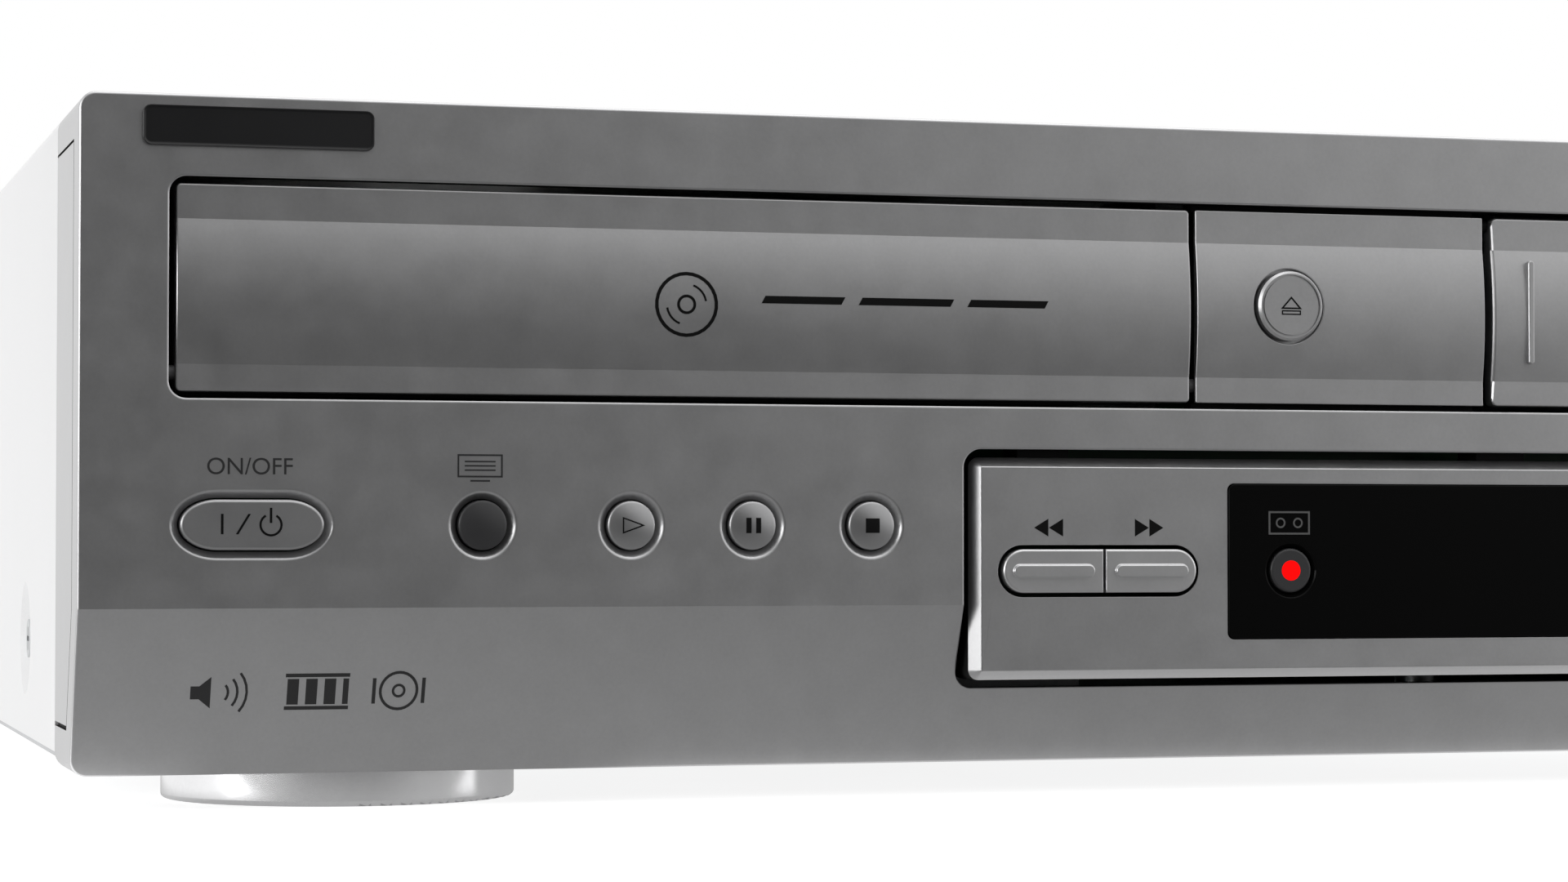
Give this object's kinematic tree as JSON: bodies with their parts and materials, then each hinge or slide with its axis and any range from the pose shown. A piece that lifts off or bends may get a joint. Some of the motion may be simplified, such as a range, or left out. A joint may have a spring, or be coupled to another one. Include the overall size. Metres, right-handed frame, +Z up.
{
  "type": "disc and cassette combination player",
  "caption": "Low wide home disc and video cassette player with a drop-down disc door, a swing-in cassette door, a framed display panel and round push buttons.",
  "frame": {"origin": "centre of the bounding box in plan, on the plane that the feet stand on", "axes": "+X to the right as seen from the front, -Y out of the front panel, +Z up"},
  "size_m": [0.43, 0.2914, 0.099],
  "materials": {
    "silver_case": "satin silver paint on moulded plastic",
    "silver_key": "satin silver moulded plastic",
    "dark_key": "dark grey moulded plastic",
    "window": "black tinted acrylic",
    "plate": "dark satin badge",
    "cover_steel": "silver paint on sheet steel",
    "zinc_steel": "zinc plated sheet steel",
    "foot": "bright plated ring",
    "screw": "bright zinc",
    "board": "glass fibre board with lacquer",
    "tube": "smoked glass",
    "black_plastic": "black moulded plastic",
    "white_plastic": "self-coloured acetal",
    "socket": "plated socket shells",
    "rubber": "moulded rubber",
    "ground_steel": "ground steel",
    "motor_can": "pressed motor can",
    "drum": "turned aluminium"
  },
  "bodies": {
    "case": {"front_bezel": "silver_case", "centre_panel": "silver_case", "control_panel": "silver_case", "display_window": "window", "name_plate": "plate", "front_board": "board", "display_tube": "tube", "front_sockets": "socket", "bottom_chassis": "zinc_steel", "top_cover": "cover_steel", "rear_panel": "zinc_steel", "feet": "foot", "cover_screws": "screw", "rear_jacks": "socket", "tuner_module": "zinc_steel", "mains_inlet": "black_plastic", "power_board": "board", "main_board": "board", "power_transformer": "ground_steel", "loader_frame": "black_plastic", "clamp_bridge": "zinc_steel", "loader_belt": "rubber", "loader_motor": "motor_can", "deck_plate": "zinc_steel", "lower_drum": "drum", "tape_heads": "ground_steel", "deck_motor": "motor_can"},
    "power_button": {"power_button": "silver_key"},
    "progressive_button": {"progressive_button": "dark_key"},
    "play_button": {"play_button": "silver_key"},
    "pause_button": {"pause_button": "silver_key"},
    "stop_button": {"stop_button": "silver_key"},
    "disc_eject_button": {"disc_eject_button": "silver_key"},
    "rewind_button": {"rewind_button": "silver_key"},
    "fast_forward_button": {"fast_forward_button": "silver_key"},
    "record_button": {"record_button": "dark_key"},
    "channel_down_button": {"channel_down_button": "silver_key"},
    "channel_up_button": {"channel_up_button": "silver_key"},
    "tape_eject_button": {"tape_eject_button": "silver_key"},
    "tape_stop_button": {"tape_stop_button": "silver_key"},
    "tape_pause_button": {"tape_pause_button": "silver_key"},
    "tape_play_button": {"tape_play_button": "silver_key"},
    "disc_tray": {"disc_tray": "black_plastic"},
    "disc_door": {"disc_door": "silver_case"},
    "tray_gear": {"tray_gear": "white_plastic"},
    "motor_pulley": {"motor_pulley": "white_plastic"},
    "traverse": {"traverse_chassis": "black_plastic", "guide_rods": "ground_steel"},
    "turntable": {"turntable": "drum"},
    "pickup_sled": {"pickup_sled": "black_plastic"},
    "disc_clamp": {"disc_clamp": "black_plastic"},
    "cassette_door": {"cassette_door": "silver_case"},
    "cassette_holder": {"cassette_holder": "zinc_steel"},
    "head_drum": {"head_drum": "drum"},
    "capstan": {"capstan": "ground_steel"},
    "supply_reel": {"supply_reel": "white_plastic"},
    "take_up_reel": {"take_up_reel": "white_plastic"},
    "pinch_arm": {"pinch_arm": "ground_steel"},
    "pinch_roller": {"pinch_roller": "rubber"},
    "tape_guides": {"tape_guides": "white_plastic"}
  },
  "joints": [
    {"name": "power_press", "type": "slide", "parent": "case", "child": "power_button", "axis": [0, 1, 0], "range_m": [0, 0.0008], "stiffness_N_per_m": 400, "springref_m": -0.0005},
    {"name": "progressive_press", "type": "slide", "parent": "case", "child": "progressive_button", "axis": [0, 1, 0], "range_m": [0, 0.0008], "stiffness_N_per_m": 400, "springref_m": -0.0005},
    {"name": "play_press", "type": "slide", "parent": "case", "child": "play_button", "axis": [0, 1, 0], "range_m": [0, 0.0008], "stiffness_N_per_m": 400, "springref_m": -0.0005},
    {"name": "pause_press", "type": "slide", "parent": "case", "child": "pause_button", "axis": [0, 1, 0], "range_m": [0, 0.0008], "stiffness_N_per_m": 400, "springref_m": -0.0005},
    {"name": "stop_press", "type": "slide", "parent": "case", "child": "stop_button", "axis": [0, 1, 0], "range_m": [0, 0.0008], "stiffness_N_per_m": 400, "springref_m": -0.0005},
    {"name": "disc_eject_press", "type": "slide", "parent": "case", "child": "disc_eject_button", "axis": [0, 1, 0], "range_m": [0, 0.0008], "stiffness_N_per_m": 400, "springref_m": -0.0005},
    {"name": "rewind_press", "type": "slide", "parent": "case", "child": "rewind_button", "axis": [0, 1, 0], "range_m": [0, 0.0008], "stiffness_N_per_m": 400, "springref_m": -0.0005},
    {"name": "fast_forward_press", "type": "slide", "parent": "case", "child": "fast_forward_button", "axis": [0, 1, 0], "range_m": [0, 0.0008], "stiffness_N_per_m": 400, "springref_m": -0.0005},
    {"name": "record_press", "type": "slide", "parent": "case", "child": "record_button", "axis": [0, 1, 0], "range_m": [0, 0.0008], "stiffness_N_per_m": 400, "springref_m": -0.0005},
    {"name": "channel_down_press", "type": "slide", "parent": "case", "child": "channel_down_button", "axis": [0, 1, 0], "range_m": [0, 0.0008], "stiffness_N_per_m": 400, "springref_m": -0.0005},
    {"name": "channel_up_press", "type": "slide", "parent": "case", "child": "channel_up_button", "axis": [0, 1, 0], "range_m": [0, 0.0008], "stiffness_N_per_m": 400, "springref_m": -0.0005},
    {"name": "tape_eject_press", "type": "slide", "parent": "case", "child": "tape_eject_button", "axis": [0, 1, 0], "range_m": [0, 0.0008], "stiffness_N_per_m": 400, "springref_m": -0.0005},
    {"name": "tape_stop_press", "type": "slide", "parent": "case", "child": "tape_stop_button", "axis": [0, 1, 0], "range_m": [0, 0.0008], "stiffness_N_per_m": 400, "springref_m": -0.0005},
    {"name": "tape_pause_press", "type": "slide", "parent": "case", "child": "tape_pause_button", "axis": [0, 1, 0], "range_m": [0, 0.0008], "stiffness_N_per_m": 400, "springref_m": -0.0005},
    {"name": "tape_play_press", "type": "slide", "parent": "case", "child": "tape_play_button", "axis": [0, 1, 0], "range_m": [0, 0.0008], "stiffness_N_per_m": 400, "springref_m": -0.0005},
    {"name": "tray_slide", "type": "slide", "parent": "case", "child": "disc_tray", "axis": [0, -1, 0], "range_m": [0, 0.168]},
    {"name": "disc_door_drop", "type": "hinge", "parent": "case", "child": "disc_door", "pos_m": [-0.1268, -0.1414, 0.06075], "axis": [1, 0, 0], "range_deg": [0, 100.1]},
    {"name": "tray_gear_spin", "type": "hinge", "parent": "case", "child": "tray_gear", "pos_m": [-0.1658, -0.0623, 0.0771], "axis": [0, 0, 1], "range_deg": [0, 804]},
    {"name": "motor_pulley_spin", "type": "hinge", "parent": "case", "child": "motor_pulley", "pos_m": [-0.1298, -0.0923, 0.06], "axis": [0, 0, 1], "range_deg": [0, 3745]},
    {"name": "traverse_tilt", "type": "hinge", "parent": "case", "child": "traverse", "pos_m": [-0.1268, 0.0574, 0.0746], "axis": [1, 0, 0], "range_deg": [0, 3.05]},
    {"name": "turntable_spin", "type": "hinge", "parent": "traverse", "child": "turntable", "pos_m": [-0.1268, -0.0356, 0.0746], "axis": [0, 0, 1], "continuous": true},
    {"name": "clamp_spin", "type": "hinge", "parent": "case", "child": "disc_clamp", "pos_m": [-0.1268, -0.0356, 0.0856], "axis": [0, 0, 1], "continuous": true},
    {"name": "pickup_slide", "type": "slide", "parent": "traverse", "child": "pickup_sled", "axis": [0, 1, 0], "range_m": [0, 0.033]},
    {"name": "cassette_door_swing", "type": "hinge", "parent": "case", "child": "cassette_door", "pos_m": [0.09965, -0.1417, 0.08565], "axis": [1, 0, 0], "range_deg": [0, 90], "stiffness_Nm_per_rad": 0.003, "springref_deg": -11.46},
    {"name": "cassette_lift", "type": "slide", "parent": "case", "child": "cassette_holder", "axis": [0, 0, -1], "range_m": [0, 0.022]},
    {"name": "drum_spin", "type": "hinge", "parent": "case", "child": "head_drum", "pos_m": [0.09965, 0.0417, 0.022], "axis": [0, 0, 1], "continuous": true},
    {"name": "capstan_spin", "type": "hinge", "parent": "case", "child": "capstan", "pos_m": [0.16165, 0.0057, 0.022], "axis": [0, 0, 1], "continuous": true},
    {"name": "supply_reel_spin", "type": "hinge", "parent": "case", "child": "supply_reel", "pos_m": [0.05465, -0.0563, 0.022], "axis": [0, 0, 1], "continuous": true},
    {"name": "take_up_reel_spin", "type": "hinge", "parent": "case", "child": "take_up_reel", "pos_m": [0.14465, -0.0563, 0.022], "axis": [0, 0, 1], "continuous": true},
    {"name": "pinch_swing", "type": "hinge", "parent": "case", "child": "pinch_arm", "pos_m": [0.18765, 0.0277, 0.022], "axis": [0, 0, 1], "range_deg": [-24, 0]},
    {"name": "pinch_roller_spin", "type": "hinge", "parent": "pinch_arm", "child": "pinch_roller", "pos_m": [0.17689, 0.0054, 0.022], "axis": [0, 0, 1], "continuous": true},
    {"name": "guide_slide", "type": "slide", "parent": "case", "child": "tape_guides", "axis": [0, 1, 0], "range_m": [0, 0.059]}
  ],
  "couplings": [
    {"joint": "disc_door_drop", "follows": "tray_slide", "rad_per_m": 10.389},
    {"joint": "tray_gear_spin", "follows": "tray_slide", "rad_per_m": 83.333},
    {"joint": "motor_pulley_spin", "follows": "tray_slide", "rad_per_m": 388.89},
    {"joint": "traverse_tilt", "follows": "tray_slide", "rad_per_m": 0.31167},
    {"joint": "clamp_spin", "follows": "turntable_spin", "ratio": 1}
  ]
}
